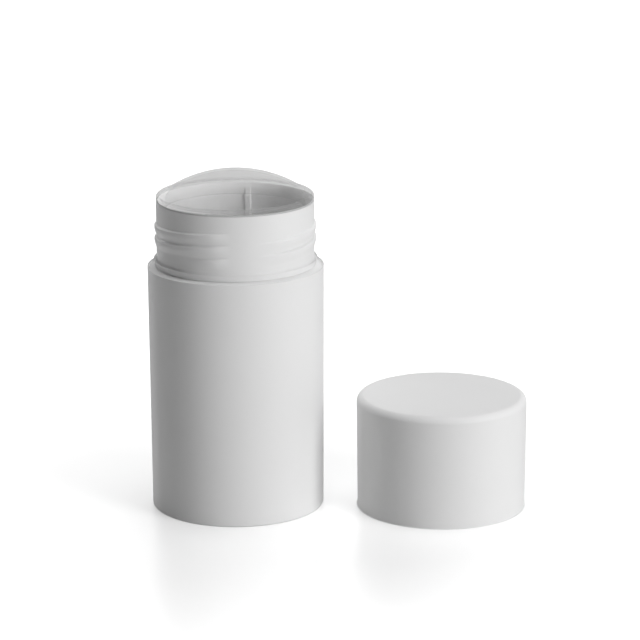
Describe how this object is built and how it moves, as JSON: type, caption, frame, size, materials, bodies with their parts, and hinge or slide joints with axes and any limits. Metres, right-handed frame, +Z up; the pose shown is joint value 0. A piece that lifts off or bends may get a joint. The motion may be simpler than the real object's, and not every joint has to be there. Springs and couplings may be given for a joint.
{
  "type": "deodorant stick container",
  "caption": "Round twist-up deodorant stick container with an outer shell, a threaded product tube, a clear dome seal, a turning wheel with a lifting platform, and a screw cap beside it",
  "frame": {"origin": "on the container's axis, in the plane that the container and its cap stand on", "axes": "+Z is up along the container's axis; +X points from the container to the cap beside it; -Y is the front"},
  "size_m": [0.1017, 0.0496, 0.0917],
  "materials": {
    "white_shell": "white polypropylene, moulded with a smooth semi-gloss surface",
    "white_tube": "white polypropylene, moulded with a smooth semi-gloss surface",
    "clear_seal": "clear colourless polypropylene, glossy and slightly milky",
    "white_wheel": "white plastic, moulded, semi-gloss",
    "white_platform": "white plastic, moulded, semi-gloss",
    "white_cap": "white polypropylene, moulded with a smooth semi-gloss surface"
  },
  "bodies": {
    "barrel": {"outer_shell": "white_shell", "inner_tube": "white_tube"},
    "spindle": {"spindle_wheel": "white_wheel"},
    "platform": {"platform": "white_platform"},
    "seal": {"dome_seal": "clear_seal"},
    "cap": {"cap": "white_cap"}
  },
  "joints": [
    {"name": "wheel_turn", "type": "hinge", "parent": "barrel", "child": "spindle", "pos_m": [0, 0, 0.0116], "axis": [0, 0, 1], "range_deg": [0, 4500]},
    {"name": "platform_lift", "type": "slide", "parent": "barrel", "child": "platform", "axis": [0, 0, 1], "range_m": [0, 0.0563]},
    {"name": "seal_lift", "type": "slide", "parent": "barrel", "child": "seal", "axis": [0, 0, 1], "range_m": [0, 0.03]},
    {"name": "cap_lift", "type": "slide", "parent": "barrel", "child": "cap", "axis": [0, 0, 1], "range_m": [0, 0.1]}
  ],
  "couplings": [
    {"joint": "platform_lift", "follows": "wheel_turn", "m_per_rad": 0.0007162}
  ]
}
